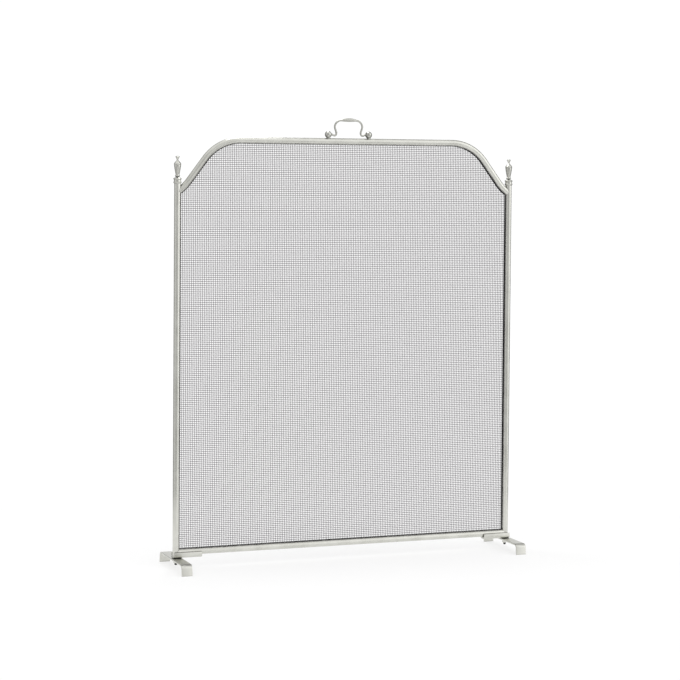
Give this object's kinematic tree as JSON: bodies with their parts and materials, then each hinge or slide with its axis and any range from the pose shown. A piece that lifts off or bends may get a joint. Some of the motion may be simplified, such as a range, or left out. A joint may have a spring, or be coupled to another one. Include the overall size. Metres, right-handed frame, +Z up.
{
  "type": "fireplace screen",
  "caption": "Free-standing fireplace screen: arched tube frame, woven wire panel, turned finials, swinging bail handle and bolted flat-bar feet.",
  "frame": {"origin": "on the floor under the middle of the screen, midway between the posts and between the feet's front and back lips", "axes": "+X to the right seen from the front, -Y to the front, +Z up"},
  "size_m": [0.68, 0.15, 0.8244],
  "materials": {
    "satin_nickel": "satin nickel plate",
    "black_bar": "black powder coat",
    "wire_cloth": "dark woven steel wire",
    "zinc_insert": "zinc plate",
    "dark_stud": "dark oiled thread"
  },
  "bodies": {
    "screen": {"left_post": "satin_nickel", "right_post": "satin_nickel", "arched_top_rail": "satin_nickel", "bottom_rail": "satin_nickel", "top_inner_bar": "black_bar", "left_inner_bar": "black_bar", "right_inner_bar": "black_bar", "bottom_inner_bar": "black_bar", "wire_panel": "wire_cloth", "left_collar": "satin_nickel", "right_collar": "satin_nickel", "left_finial": "satin_nickel", "right_finial": "satin_nickel", "left_finial_insert": "zinc_insert", "right_finial_insert": "zinc_insert", "left_foot": "satin_nickel", "right_foot": "satin_nickel", "left_foot_saddle": "satin_nickel", "right_foot_saddle": "satin_nickel", "left_foot_stud": "dark_stud", "right_foot_stud": "dark_stud", "left_foot_washer": "satin_nickel", "right_foot_washer": "satin_nickel", "left_foot_nut": "satin_nickel", "right_foot_nut": "satin_nickel", "left_foot_insert": "zinc_insert", "right_foot_insert": "zinc_insert", "left_handle_post": "satin_nickel", "right_handle_post": "satin_nickel", "left_handle_insert": "zinc_insert", "right_handle_insert": "zinc_insert"},
    "bail": {"bail_handle": "satin_nickel"}
  },
  "joints": [
    {"name": "bail_hinge", "type": "hinge", "parent": "screen", "child": "bail", "pos_m": [0, 0, 0.7938], "axis": [1, 0, 0], "range_deg": [-135, 135]}
  ]
}
